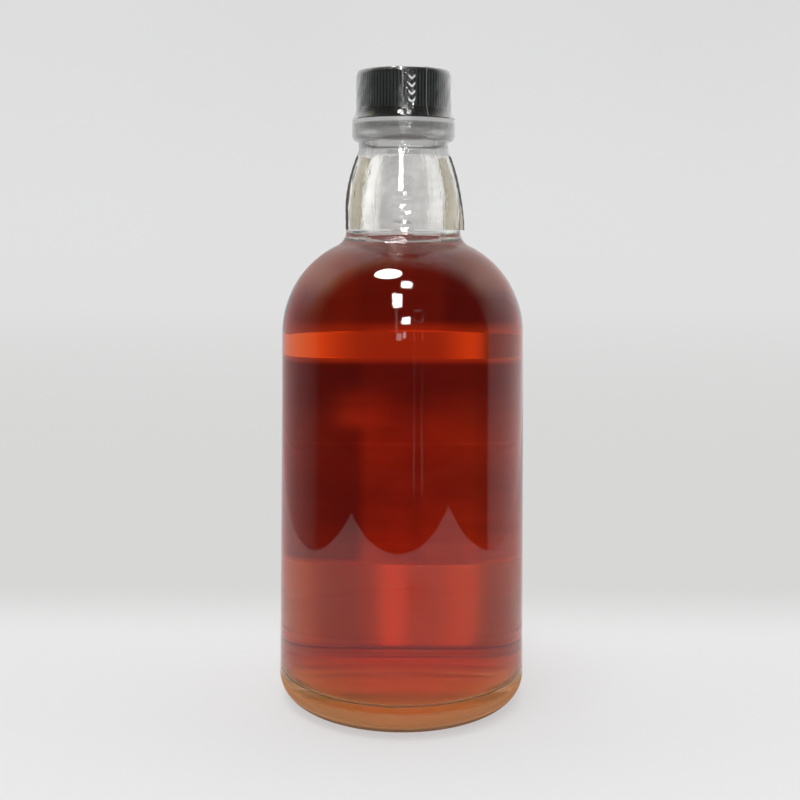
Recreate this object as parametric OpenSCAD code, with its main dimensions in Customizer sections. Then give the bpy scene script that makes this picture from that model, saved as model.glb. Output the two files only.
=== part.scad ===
// Round clear glass bottle of about 700 ml with a ribbed screw cap, a foil seal on its rim,
// a clear perforated shrink seal and three paper labels. Millimetres, +Z up, origin at the
// centre of the base. The bare back faces -Y and the labels face +Y.

/* [Bottle body] */
// Radius of the body just above the heel
body_low_r = 42.9; // [40:0.1:48]
// Radius of the body where the shoulder starts
body_high_r = 41.5; // [40:0.1:46]
// Height at which the shoulder starts
shoulder_z = 128.3; // [121:0.1:150]
// Radius of the shoulder's arc
shoulder_r = 33.3; // [31:0.1:34]
// Radius of the heel's arc
heel_r = 9; // [7:0.1:12]
// Thickness of the side wall
wall = 2.6; // [2:0.1:3.4]

/* [Bottle base] */
// Inner radius of the flat ring that the bottle stands on
bearing_in_r = 30; // [26:0.1:30.5]
// Height of the push-up under the base
punt_h = 4.5; // [2:0.1:6]
// Thickness of the glass over the bearing ring
floor_t = 9; // [8:0.1:12]
// Height of the crown of the inner floor
floor_crown = 2.5; // [1:0.1:4]
// Radius of the inner heel
heel_in_r = 7; // [5:0.1:9]

/* [Bottle neck] */
// Height above the start of the shoulder at which the neck is straight
foot_rise = 35.2; // [34.5:0.1:38]
// Radius of the straight part of the neck
waist_r = 19.6; // [19:0.1:20.5]
// How far the blend at the foot of the neck reaches out over the shoulder
foot_flare = 3.2; // [2:0.1:4]
// Largest radius of the bulb of the neck
bulb_r = 19.7; // [19:0.1:21]
// Height of the bulb above the foot of the neck
bulb_rise = 7.5; // [5:0.1:12]
// Length of the taper from the bulb up to the groove
taper_h = 19.5; // [17:0.1:24]
// Radius of the groove under the collar
groove_r = 15.1; // [14:0.1:16]
// Height of the groove under the collar
groove_h = 2.5; // [1.5:0.1:4]
// Thickness of the wall of the neck
neck_wall = 5.1; // [4.4:0.1:6]

/* [Bottle finish] */
// Radius of the collar bead
bead_r = 17.3; // [16.6:0.1:18]
// Height of the collar bead
bead_h = 7; // [5:0.1:8]
// Radius of the land that carries the thread
land_r = 12.2; // [12:0.1:12.6]
// Height of the land above the bead
land_h = 13.2; // [12.5:0.1:16]
// Radius of the bore of the mouth
bore_r = 9.75; // [9:0.05:10.4]
// Length of the straight bore
bore_h = 20.2; // [17:0.1:22]
// Radius of the rounded outer edge of the lip
lip_r = 0.8; // [0.4:0.1:1]

/* [Contents] */
// Depth of the liquid's surface below the straight part of the neck
fill_drop = 4.9; // [0:0.1:20]
// Gap kept between the liquid and the glass
fill_gap = 0.05; // [0.02:0.01:0.2]

/* [Rim seal and liner] */
// Thickness of the foil seal on the rim
seal_t = 0.4; // [0.2:0.05:0.8]
// Radius of the foil seal
seal_r = 12.1; // [11.5:0.1:12.4]
// Thickness of the foam liner
liner_t = 1.5; // [0.8:0.1:2]
// Gap between the edge of the liner and the insert
liner_gap = 0.2; // [0.1:0.05:0.4]

/* [Screw cap] */
// Radial room for the thread between the land and the insert
thread_room = 1.15; // [1:0.05:1.4]
// Thickness of the threaded insert's wall
insert_t = 0.6; // [0.5:0.05:0.9]
// Thickness of the insert's top web
insert_top_t = 0.5; // [0.4:0.1:1]
// Gap between the insert and the shell
insert_gap = 0.05; // [0.02:0.01:0.1]
// Thickness of the shell's wall at the root of the ribs
shell_t = 1.2; // [1:0.05:1.5]
// Thickness of the top of the shell
shell_top_t = 1.2; // [1:0.1:2]
// Height of one grip rib
rib_h = 0.45; // [0.3:0.05:0.6]
// How far the ribs lie back from the smooth band and the top edge
rib_set = 0.05; // [0.03:0.01:0.1]
// Number of grip ribs
rib_count = 84; // [60:1:96]
// Height of the smooth band under the ribs
band_h = 3.5; // [2:0.1:5]
// Radius of the cap's top edge
cap_edge_r = 1.3; // [1:0.1:1.5]
// Gap between the cap and the collar bead
cap_gap = 0.7; // [0.4:0.1:1.5]

/* [Shrink seal] */
// Thickness of the clear film
film_t = 0.15; // [0.1:0.01:0.25]
// Gap between the film and what it is shrunk on
film_gap = 0.1; // [0.05:0.01:0.2]
// Width of the film's lip that turns in over the cap's top
film_lip = 3.4; // [2:0.1:6]
// Height over which the film flares out from the cap to the bead
flare_h = 4; // [3:0.1:5]
// Gap at the horizontal perforation
seam_gap = 0.3; // [0.2:0.05:0.5]
// How far the lower band of the film reaches below the groove
film_reach = 2; // [1:0.1:2.1]
// Angle that the tear strip covers
strip_angle = 31; // [15:1:40]
// Angle of the middle of the tear strip from the bottle's back, towards +X
strip_turn = 13; // [-30:1:30]
// Gap at each vertical perforation
strip_gap = 0.12; // [0.08:0.01:0.3]

/* [Labels] */
// Thickness of the label paper
paper_t = 0.15; // [0.1:0.01:0.25]
// Gap between the labels and the glass
paper_gap = 0.03; // [0.02:0.01:0.1]
// Height of the front label's lower edge
label_z = 40.4; // [20:0.1:47]
// Height of the front label
label_h = 76.5; // [50:0.1:82]
// Half of the angle that the front label wraps
label_half_angle = 56; // [40:1:80]
// How far the shoulder label reaches below the start of the shoulder
shoulder_label_drop = 3.8; // [2:0.1:7]
// Height of the shoulder label
shoulder_label_h = 23.5; // [12:0.1:28]
// Half of the angle that the shoulder label wraps
shoulder_label_half_angle = 50; // [30:1:70]
// Height of the neck label
neck_label_h = 24.6; // [15:0.1:24.7]
// Half of the angle that the neck label wraps
neck_label_half_angle = 110; // [60:1:120]

/* [Hidden] */
$fn = 96;

// Steps along each blended stretch of an outline, and along each long arc
blend_steps = 8;
arc_steps = 14;
// Overrun of a cut past the face that it opens
over = 1;
// Heights of the neck
foot_z = shoulder_z + foot_rise;
bulb_z = foot_z + bulb_rise;
groove_z = bulb_z + taper_h;
bead_z = groove_z + groove_h;
bead_top_z = bead_z + bead_h;
mouth_z = bead_top_z + land_h;
bore_z = mouth_z - bore_h;
fill_z = foot_z - fill_drop;
// The groove's blend into the bead, and the bead's rounded edges
bead_low_round = bead_h * 3 / 8;
bead_top_round = bead_h / 4;
land_fillet = lip_r;
// Inner radii of the body and the neck
neck_in_r = waist_r - neck_wall;
foot_in_flare = foot_flare * 2 / 3;
foot_in_z = foot_z - neck_wall / 2;
// Share of the taper's height at which the bore starts to draw in
bore_taper_share = 0.35;
shoulder_cx = body_high_r - shoulder_r;
// Closure, from the rim upwards
seal_top_z = mouth_z + seal_t;
liner_top_z = seal_top_z + liner_t;
insert_top_z = liner_top_z + insert_top_t;
cap_top_z = insert_top_z + shell_top_t;
cap_z = bead_top_z + cap_gap;
insert_in_r = land_r + thread_room;
insert_out_r = insert_in_r + insert_t;
shell_in_r = insert_out_r + insert_gap;
rib_root_r = shell_in_r + shell_t;
rib_crest_r = rib_root_r + rib_h;
rib_z = cap_z + band_h;
rib_top_z = cap_top_z - cap_edge_r;
insert_z = cap_z + insert_t;
// Shares of one rib's pitch: end of the valley, start and end of the crest
rib_shares = [0.35, 0.5, 0.85];
// Shrink seal
film_in_r = rib_crest_r + film_gap;
flare_r = bead_r + film_gap;
flare_z = cap_z + flare_h;
seam_z = cap_z;
film_top_z = cap_top_z + film_gap / 2;
band_low_z = groove_z - film_reach;
strip_gap_angle = strip_gap / film_in_r * 180 / PI;
// Neck label, from just over the foot of the neck
neck_label_z = foot_z + paper_t;
// Shoulder label, from just under the start of the shoulder
shoulder_label_z = shoulder_z - shoulder_label_drop;

// Points on an arc about c from angle a0 to a1
function arc_pts(c, r, a0, a1, n) =
    [for (i = [0 : n]) let (a = a0 + (a1 - a0) * i / n) c + r * [cos(a), sin(a)]];

// Points on a curve from a to c that leaves and arrives towards b
function blend_pts(a, b, c, n) =
    [for (i = [0 : n]) let (t = i / n) (1 - t) * (1 - t) * a + 2 * t * (1 - t) * b + t * t * c];

// Points of a crowned disc of radius r, h high in the middle, from the axis outwards
function crown_pts(r, z, h, n) =
    [for (i = [0 : n]) let (t = i / n) [r * t, z + h * (1 - t * t)]];

// Shoulder arc of radius r, and its blend over the width f into a neck of radius x that is
// straight from the height top_z
function shoulder_pts(r, x, f, top_z) =
    let (
        a = acos((x + f - shoulder_cx) / r),
        arc_end = [x + f, shoulder_z + r * sin(a)]
    )
    concat(
        arc_pts([shoulder_cx, shoulder_z], r, 0, a, arc_steps),
        blend_pts(arc_end, [x, arc_end[1] + f / tan(a)], [x, top_z], blend_steps)
    );

// Radius of the body at height z
function body_r(z) =
    body_low_r + (body_high_r - body_low_r) * (z - heel_r) / (shoulder_z - heel_r);

// Radius of the shoulder's arc about the axis at height z
function shoulder_at(z) = shoulder_cx + sqrt(shoulder_r * shoulder_r - pow(z - shoulder_z, 2));

// Radius of the neck at height z, from its foot up to the groove
function neck_r(z) =
    z <= bulb_z
        ? waist_r + (bulb_r - waist_r) * (z - foot_z) / bulb_rise
        : let (s = sqrt((z - bulb_z) / taper_h)) bulb_r + (groove_r - bulb_r) * pow(s, 3.6);

// Points along the neck from z0 to z1, standing off the glass by gap
function neck_pts(z0, z1, gap, n) =
    [for (i = [0 : n]) let (z = z0 + (z1 - z0) * i / n) [neck_r(z) + gap, z]];

// Points round the bead from the groove to its top edge, standing off by gap
function bead_pts(gap) =
    concat(
        blend_pts(
            [groove_r + gap, bead_z], [bead_r + gap, bead_z + bead_low_round / 4],
            [bead_r + gap, bead_z + bead_low_round], blend_steps
        ),
        [[bead_r + gap, bead_top_z - bead_top_round]]
    );

// Outline of the outside of the bottle
function outer_pts() =
    concat(
        crown_pts(bearing_in_r, 0, punt_h, blend_steps),
        arc_pts([body_low_r - heel_r, heel_r], heel_r, -90, 0, blend_steps),
        shoulder_pts(shoulder_r, waist_r, foot_flare, foot_z),
        neck_pts(bulb_z, groove_z, 0, blend_steps * 2),
        bead_pts(0),
        blend_pts(
            [bead_r, bead_top_z - bead_top_round], [bead_r, bead_top_z],
            [bead_r - bead_top_round, bead_top_z], blend_steps / 2
        ),
        arc_pts([land_r + land_fillet, bead_top_z + land_fillet], land_fillet, -90, -180, 4),
        arc_pts([land_r - lip_r, mouth_z - lip_r], lip_r, 0, 90, 4),
        [[0, mouth_z]]
    );

// Outline of the space inside the bottle, drawn in by gap, open past the mouth
function cavity_pts(gap) =
    concat(
        crown_pts(
            body_low_r - wall - heel_in_r, floor_t + gap, floor_crown, blend_steps
        ),
        arc_pts(
            [body_low_r - wall - heel_in_r, floor_t + heel_in_r], heel_in_r - gap,
            -90, 0, blend_steps
        ),
        shoulder_pts(shoulder_r - wall - gap, neck_in_r - gap, foot_in_flare, foot_in_z),
        blend_pts(
            [neck_in_r - gap, bulb_z], [neck_in_r - gap, bulb_z + taper_h * bore_taper_share],
            [bore_r - gap, bore_z], blend_steps
        ),
        [
            [bore_r - gap, mouth_z - lip_r / 2], [bore_r - gap + lip_r / 2, mouth_z],
            [bore_r - gap + lip_r / 2, mouth_z + over], [0, mouth_z + over]
        ]
    );

// A thin sheet revolved over an angle: a list of inner points and the sheet's thickness
module sheet(points, t, half_angle, middle) {
    outside = [for (i = [len(points) - 1 : -1 : 0]) points[i] + [t, 0]];
    rotate([0, 0, middle - half_angle])
        rotate_extrude(angle = 2 * half_angle)
            polygon(concat(points, outside));
}

// Inner points of the upper film, from the horizontal perforation to the cap's top edge
function sleeve_pts(top_z) =
    [
        [flare_r + (film_in_r - flare_r) * (seam_gap / flare_h), seam_z + seam_gap / 2],
        [film_in_r, flare_z],
        [film_in_r, top_z]
    ];

// Clear glass bottle with a push-up base, a bulb neck, a collar bead and a plain land
module bottle_glass() {
    color([0.8, 0.86, 0.84, 0.35])
        difference() {
            rotate_extrude() polygon(outer_pts());
            rotate_extrude() polygon(cavity_pts(0));
        }
}

// The dark amber contents, filled up to the foot of the neck
module liquid_fill() {
    color([0.48, 0.1, 0.04])
        intersection() {
            rotate_extrude() polygon(cavity_pts(fill_gap));
            cylinder(h = fill_z, r = body_low_r);
        }
}

// Foil seal on the rim
module rim_seal() {
    color([0.8, 0.8, 0.82])
        translate([0, 0, mouth_z])
            cylinder(h = seal_t, r = seal_r);
}

// Foam liner that presses the foil onto the rim
module liner_disc() {
    color([0.95, 0.94, 0.9])
        translate([0, 0, seal_top_z])
            cylinder(h = liner_t, r = insert_in_r - liner_gap);
}

// Threaded inner part of the cap, with its thread left plain
module cap_insert() {
    color([0.16, 0.16, 0.17])
        rotate_extrude()
            polygon([
                [0, liner_top_z], [insert_in_r, liner_top_z], [insert_in_r, insert_z],
                [insert_out_r, insert_z], [insert_out_r, insert_top_z], [0, insert_top_z]
            ]);
}

// Outline of the ribbed grip, seen from above
function rib_pts() =
    [
        for (i = [0 : rib_count - 1], k = [0 : 3])
            let (
                share = k == 0 ? 0 : rib_shares[k - 1],
                r = k < 2 ? rib_root_r : rib_crest_r - rib_set,
                a = (i + share) * 360 / rib_count
            )
            r * [cos(a), sin(a)]
    ];

// Black outer part of the cap: grip ribs, a smooth band under them and a rounded top edge
module cap_shell() {
    color([0.07, 0.07, 0.08])
        difference() {
            union() {
                rotate_extrude()
                    polygon(concat(
                        [[0, cap_z], [rib_crest_r, cap_z], [rib_crest_r, rib_z]],
                        [[rib_root_r, rib_z], [rib_root_r, rib_top_z]],
                        arc_pts([rib_crest_r - cap_edge_r, rib_top_z], cap_edge_r, 0, 90, 6),
                        [[0, cap_top_z]]
                    ));
                translate([0, 0, rib_z - rib_set])
                    linear_extrude(rib_top_z - rib_z + 2 * rib_set) polygon(rib_pts());
            }
            translate([0, 0, cap_z - over])
                cylinder(h = insert_top_z - cap_z + over, r = shell_in_r);
        }
}

// Upper part of the clear film: the wall with a slot for the tear strip, and the lip
module seal_sleeve() {
    inside = sleeve_pts(film_top_z);
    out_r = film_in_r + film_t;
    slot_half = strip_angle / 2 + strip_gap_angle;
    color([0.86, 0.9, 0.92, 0.3])
        difference() {
            rotate_extrude()
                polygon(concat(
                    inside,
                    [[out_r - film_lip, film_top_z], [out_r - film_lip, film_top_z + film_t]],
                    [[out_r, film_top_z + film_t]],
                    [inside[1] + [film_t, 0], inside[0] + [film_t, 0]]
                ));
            rotate([0, 0, -90 + strip_turn - slot_half])
                rotate_extrude(angle = 2 * slot_half)
                    translate([rib_root_r, seam_z])
                        square([bead_r, film_top_z - seam_gap + film_gap - seam_z]);
        }
}

// Strip of the film between the two vertical perforations
module seal_tear_strip() {
    color([0.9, 0.93, 0.95, 0.4])
        sheet(sleeve_pts(film_top_z - seam_gap), film_t, strip_angle / 2, -90 + strip_turn);
}

// Lower part of the film, shrunk over the bead and into the groove
module seal_neck_band() {
    inside = concat(
        neck_pts(band_low_z, groove_z, film_gap, blend_steps / 2),
        bead_pts(film_gap),
        [[flare_r + (film_in_r - flare_r) * (seam_gap / flare_h) / 2, seam_z - seam_gap / 2]]
    );
    outside = [for (i = [len(inside) - 1 : -1 : 0]) inside[i] + [film_t, 0]];
    color([0.86, 0.9, 0.92, 0.3])
        rotate_extrude() polygon(concat(inside, outside));
}

// Paper label round the front of the neck
module neck_label() {
    color([0.82, 0.76, 0.64])
        sheet(
            neck_pts(neck_label_z, neck_label_z + neck_label_h, paper_gap, blend_steps * 2),
            paper_t, neck_label_half_angle, 90
        );
}

// Paper label on the front of the shoulder, bent over the start of its arc
module shoulder_label() {
    top_z = shoulder_label_z + shoulder_label_h;
    steps = arc_steps * 2;
    color([0.35, 0.1, 0.06])
        sheet(
            concat(
                [[body_r(shoulder_label_z) + paper_gap, shoulder_label_z]],
                [
                    for (i = [0 : steps])
                        let (z = shoulder_z + (top_z - shoulder_z) * i / steps)
                        [shoulder_at(z) + paper_gap, z]
                ]
            ),
            paper_t, shoulder_label_half_angle, 90
        );
}

// Paper label on the front of the body
module front_label() {
    low = [body_r(label_z) + paper_gap, label_z];
    high = [body_r(label_z + label_h) + paper_gap, label_z + label_h];
    color([0.86, 0.8, 0.66])
        sheet([low, high], paper_t, label_half_angle, 90);
}

bottle_glass();
liquid_fill();
rim_seal();
liner_disc();
cap_insert();
cap_shell();
seal_sleeve();
seal_tear_strip();
seal_neck_band();
neck_label();
shoulder_label();
front_label();
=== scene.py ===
import math

import bpy
import numpy as np
from mathutils import Matrix, Vector


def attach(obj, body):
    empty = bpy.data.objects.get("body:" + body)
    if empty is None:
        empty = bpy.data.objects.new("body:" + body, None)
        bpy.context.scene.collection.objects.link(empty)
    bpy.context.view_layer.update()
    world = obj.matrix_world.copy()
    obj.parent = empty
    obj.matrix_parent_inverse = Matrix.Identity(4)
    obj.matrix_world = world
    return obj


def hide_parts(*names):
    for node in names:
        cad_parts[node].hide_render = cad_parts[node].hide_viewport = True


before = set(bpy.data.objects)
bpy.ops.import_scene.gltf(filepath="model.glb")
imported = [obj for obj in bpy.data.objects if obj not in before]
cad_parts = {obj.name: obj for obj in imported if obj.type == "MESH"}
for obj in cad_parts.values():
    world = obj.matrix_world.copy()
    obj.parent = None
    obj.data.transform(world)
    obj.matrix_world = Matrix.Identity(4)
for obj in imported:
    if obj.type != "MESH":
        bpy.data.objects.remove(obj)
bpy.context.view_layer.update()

# Sizes are written in millimetres, and every mesh is made in metres.
MM = 0.001

# Bottle: radii end in R, heights above the ground in Z, heights of a form in H and thicknesses in T.
BODY_LOW_R, BODY_HIGH_R, SHOULDER_Z, SHOULDER_R, HEEL_R, WALL = 42.9, 41.5, 128.3, 33.3, 9.0, 2.6
BEARING_IN_R, BEARING_EDGE, BEARING_EDGE_H, BEARING_FLAT = 30.0, 0.4, 0.12, 0.5
PUNT_H, FLOOR_T, FLOOR_CROWN, HEEL_IN_R = 4.5, 9.0, 2.5, 7.0
WAIST_R, FOOT_FLARE, BULB_R, TAPER_H, TAPER_POWER, GROOVE_R = 19.6, 3.2, 19.7, 19.5, 1.8, 15.1
NECK_IN_R, FOOT_IN_FLARE, FOOT_IN_Z, BORE_TAPER = 14.5, 2.13, 160.95, 0.35
FOOT_Z, BULB_Z, GROOVE_Z, BORE_Z = 163.5, 171.0, 190.5, 193.0
BEAD_Z, BEAD_TOP_Z, BEAD_R, BEAD_PULL, BEAD_FULL, BEAD_EDGE = 193.0, 200.0, 17.3, 0.66, 2.62, 1.75
MOUTH_Z, LAND_R, BORE_R, LIP_R = 213.2, 12.2, 9.75, 0.8
THREAD_PITCH, THREAD_H, THREAD_HALF_W, THREAD_Z0, THREAD_TURNS, THREAD_FADE = 3.18, 0.9, 1.0, 204.6, 2.0, 0.12
MARK_X, MARK_Z, MARK_HALF_W, MARK_HALF_H, MARK_DEPTH = -3.4, 8.2, 2.2, 1.1, 0.28
SHOULDER_CX = BODY_HIGH_R - SHOULDER_R
GLASS_SEGMENTS = 288

# Contents: the surface's height, and how high and how far the meniscus climbs
FILL_Z, MENISCUS_H, MENISCUS_L = 156.7, 1.2, 1.1

# Closure
SEAL_TOP_Z, SEAL_R, LINER_TOP_Z, INSERT_TOP_Z, CAP_TOP_Z, CAP_Z = 213.6, 12.0, 215.1, 215.6, 216.8, 200.7
INSERT_IN_R, INSERT_OUT_R, INSERT_Z, INSERT_EDGE = 13.35, 13.95, 201.3, 0.15
SHELL_IN_R, RIB_ROOT_R, RIB_CREST_R, CAP_BEVEL, RIM_EDGE = 14.0, 15.2, 15.65, 0.25, 0.3
RIB_Z, RIB_TOP_Z, RIB_COUNT, CAP_EDGE_R, DISH_R, DISH_H = 204.2, 215.5, 84, 1.3, 12.0, 0.18
FILM_R, FILM_T, FILM_TOP_Z, FILM_LIP, FLARE_Z, SEAM_Z = 15.75, 0.15, 216.85, 3.4, 204.7, 200.7
FILM_GAP, SEAM_HALF = 0.1, 0.15

# The tear strip's middle, half its width and the slit beside it, in degrees
STRIP_MID, STRIP_HALF, STRIP_SLIT = -77.0, 15.5, 0.45

# Labels, each with half its width in degrees
LABEL_Z, LABEL_H, LABEL_HALF, LABEL_GAP = 40.4, 76.5, 56.0, 0.06
SHOULDER_LABEL_Z, SHOULDER_LABEL_TOP_Z, SHOULDER_LABEL_HALF = 124.5, 148.0, 50.0
NECK_LABEL_Z, NECK_LABEL_H, NECK_LABEL_HALF = 163.65, 24.6, 110.0

GLASS_IOR, LIQUID_IOR = 1.52, 1.36


# ------------ outlines
# An outline is rows of radius and height. n is the number of steps from its first point to its last.
def arc(cx, cz, r, a0, a1, n):
    """Points on an arc, from one angle in degrees to another."""
    t = np.radians(np.linspace(a0, a1, n + 1))
    return np.column_stack([cx + r * np.cos(t), cz + r * np.sin(t)])


def curve(a, b, c, n):
    """Points on a curve from a to c that leaves and arrives towards b."""
    a, b, c = (np.array(point, float) for point in (a, b, c))
    t = np.linspace(0, 1, n + 1)[:, None]
    return (1 - t) ** 2 * a + 2 * t * (1 - t) * b + t * t * c


def line(a, b, n):
    """Points on a straight line."""
    t = np.linspace(0, 1, n + 1)[:, None]
    return (1 - t) * np.array(a, float) + t * np.array(b, float)


def crown(r, z, h, n):
    """Points of a crowned disc, from the axis outwards."""
    t = np.linspace(0, 1, n + 1)
    return np.column_stack([r * t, z + h * (1 - t * t)])


def joined(*runs):
    """Runs of points end to end, with no point twice."""
    rows = np.vstack(runs)
    keep = np.r_[True, np.hypot(*np.diff(rows, axis=0).T) > 1e-5]
    return rows[keep]


def smooth(x, a, b):
    """0 before a and 1 after b, with a smooth step between."""
    t = np.clip((np.asarray(x, float) - a) / (b - a), 0, 1)
    return t * t * (3 - 2 * t)


def body_r(z):
    """Radius of the straight body, which tapers a little."""
    return BODY_LOW_R + (BODY_HIGH_R - BODY_LOW_R) * (z - HEEL_R) / (SHOULDER_Z - HEEL_R)


def neck_r(z):
    """Radius of the neck from its foot up to the groove."""
    z = np.asarray(z, float)
    low = WAIST_R + (BULB_R - WAIST_R) * (z - FOOT_Z) / (BULB_Z - FOOT_Z)
    high = BULB_R + (GROOVE_R - BULB_R) * np.clip((z - BULB_Z) / TAPER_H, 0, 1) ** TAPER_POWER
    return np.where(z <= BULB_Z, low, high)


def shoulder(r, neck, flare, top_z, n):
    """Shoulder arc of radius r, and its blend into the neck, which starts a flare away from it."""
    a = math.degrees(math.acos((neck + flare - SHOULDER_CX) / r))
    end = (neck + flare, SHOULDER_Z + r * math.sin(math.radians(a)))
    mid = (neck, min(end[1] + flare / math.tan(math.radians(a)), top_z))
    return joined(arc(SHOULDER_CX, SHOULDER_Z, r, 0, a, n), curve(end, mid, (neck, top_z), n // 3))


def neck_rows(z0, z1, gap, n):
    """The neck's outside, or a line that far off it."""
    z = np.linspace(z0, z1, n + 1)
    return np.column_stack([neck_r(z) + gap, z])


def bead_rows(gap, n):
    """The bead's outside up to its upper edge, or a line that far off it."""
    r = BEAD_R + gap
    return joined(
        curve((GROOVE_R + gap, BEAD_Z), (r, BEAD_Z + BEAD_PULL), (r, BEAD_Z + BEAD_FULL), n),
        line((r, BEAD_Z + BEAD_FULL), (r, BEAD_TOP_Z - BEAD_EDGE), 3),
    )


def outside_rows():
    """Outside of the bottle, from the middle of the push-up to the lip."""
    punt_r, flat_r = BEARING_IN_R - BEARING_EDGE, BEARING_IN_R + BEARING_FLAT
    return joined(
        crown(punt_r, BEARING_EDGE_H, PUNT_H - BEARING_EDGE_H, 24),
        curve((punt_r, BEARING_EDGE_H), (BEARING_IN_R, 0), (flat_r, 0), 4),
        line((flat_r, 0), (BODY_LOW_R - HEEL_R, 0), 4),
        arc(BODY_LOW_R - HEEL_R, HEEL_R, HEEL_R, -90, 0, 28),
        line((BODY_LOW_R, HEEL_R), (BODY_HIGH_R, SHOULDER_Z), 48),
        shoulder(SHOULDER_R, WAIST_R, FOOT_FLARE, FOOT_Z, 48),
        neck_rows(FOOT_Z, BULB_Z, 0, 8),
        neck_rows(BULB_Z, GROOVE_Z, 0, 32),
        bead_rows(0, 16),
        curve((BEAD_R, BEAD_TOP_Z - BEAD_EDGE), (BEAD_R, BEAD_TOP_Z), (BEAD_R - BEAD_EDGE, BEAD_TOP_Z), 8),
        arc(LAND_R + LIP_R, BEAD_TOP_Z + LIP_R, LIP_R, -90, -180, 6),
        line((LAND_R, BEAD_TOP_Z + LIP_R), (LAND_R, MOUTH_Z - LIP_R), 56),
        arc(LAND_R - LIP_R, MOUTH_Z - LIP_R, LIP_R, 0, 90, 6),
    )


def cavity_rows():
    """Inside of the bottle, from the middle of its floor up to the mouth."""
    r = BODY_LOW_R - WALL - HEEL_IN_R
    return joined(
        crown(r, FLOOR_T, FLOOR_CROWN, 24),
        arc(r, FLOOR_T + HEEL_IN_R, HEEL_IN_R, -90, 0, 24),
        line((r + HEEL_IN_R, FLOOR_T + HEEL_IN_R), (BODY_HIGH_R - WALL, SHOULDER_Z), 40),
        shoulder(SHOULDER_R - WALL, NECK_IN_R, FOOT_IN_FLARE, FOOT_IN_Z, 48),
        line((NECK_IN_R, FOOT_IN_Z), (NECK_IN_R, BULB_Z), 8),
        curve((NECK_IN_R, BULB_Z), (NECK_IN_R, BULB_Z + TAPER_H * BORE_TAPER), (BORE_R, BORE_Z), 24),
        line((BORE_R, BORE_Z), (BORE_R, MOUTH_Z - LIP_R / 2), 24),
        arc(BORE_R + LIP_R / 2, MOUTH_Z - LIP_R / 2, LIP_R / 2, 180, 90, 4),
    )


def split_at(rows, z):
    """The rows below and above a height, both with a row at that height."""
    i = int(np.argmax(rows[:, 1] > z))
    t = (z - rows[i - 1, 1]) / (rows[i, 1] - rows[i - 1, 1])
    at = rows[i - 1] + t * (rows[i] - rows[i - 1])
    return np.vstack([rows[:i], at]), np.vstack([at, rows[i:]])


# ------------ meshes
def new_object(name, verts, faces, uvs=None, smooth_angle=35.0):
    """A mesh object from points in millimetres. uvs holds one pair for each corner of the faces."""
    mesh = bpy.data.meshes.new(name)
    mesh.from_pydata((np.asarray(verts, float) * MM).tolist(), [], faces)
    if uvs is not None:
        layer = mesh.uv_layers.new(name="around_up")
        layer.data.foreach_set("uv", np.asarray(uvs, np.float32).ravel())
    mesh.polygons.foreach_set("use_smooth", [True] * len(mesh.polygons))
    mesh.set_sharp_from_angle(angle=math.radians(smooth_angle))
    mesh.update()
    obj = bpy.data.objects.new(name, mesh)
    bpy.context.scene.collection.objects.link(obj)
    return obj


def lathe(name, rows, segments=256, start=-90.0, span=360.0, shape=None, loop=False, caps=False,
          smooth_angle=35.0):
    """Revolves an outline about Z, over span degrees from start. It runs anticlockwise round the solid, seen
    with the radius to the right and Z up, so the faces look outwards. shape(angle, radius, height) may return
    moved radii and heights. loop joins the last row to the first, and caps closes the two ends."""
    rows = np.asarray(rows, float)
    whole = span >= 360.0
    count = segments if whole else segments + 1
    angle = np.radians(start + span * np.arange(count) / segments)
    r = np.repeat(rows[:, :1], count, 1)
    z = np.repeat(rows[:, 1:], count, 1)
    a = np.tile(angle, (len(rows), 1))
    if shape is not None:
        r, z = shape(np.degrees(a), r, z)
    verts = np.stack([r * np.cos(a), r * np.sin(a), z], -1).reshape(-1, 3)
    index = np.arange(len(rows) * count).reshape(len(rows), count)
    for i in (0, len(rows) - 1):
        if whole and rows[i, 0] < 1e-6:
            index[i] = index[i, 0]
    up = np.cumsum(np.r_[0, np.hypot(*np.diff(rows, axis=0).T)])
    mean_r = rows[:, 0].mean()
    faces, uvs = [], []
    for i in range(len(rows) if loop else len(rows) - 1):
        k = (i + 1) % len(rows)
        for j in range(segments):
            n = (j + 1) % count if whole else j + 1
            quad = [index[i, j], index[i, n], index[k, n], index[k, j]]
            u0, u1 = (mean_r * math.radians(span * m / segments) for m in (j, j + 1))
            v0, v1 = up[i], up[k] if k else up[i] + 1.0
            corner = [(u0, v0), (u1, v0), (u1, v1), (u0, v1)]
            face, uv = [], []
            for point, at in zip(quad, corner):
                if point not in face:
                    face.append(point)
                    uv.append(at)
            faces.append(face)
            uvs.extend(uv)
    if caps:
        for j, order in ((0, 1), (count - 1, -1)):
            faces.append(index[::order, j])
            uvs.extend([(0.0, 0.0)] * len(rows))
    used = np.unique(np.concatenate(faces))
    faces = [np.searchsorted(used, face).tolist() for face in faces]
    return new_object(name, verts[used], faces, uvs, smooth_angle)


def put(obj, material, body, node):
    """Gives a piece its material, the body it rides on and the CAD node it stands for."""
    obj.data.materials.append(material)
    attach(obj, body)
    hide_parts(node)


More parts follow.
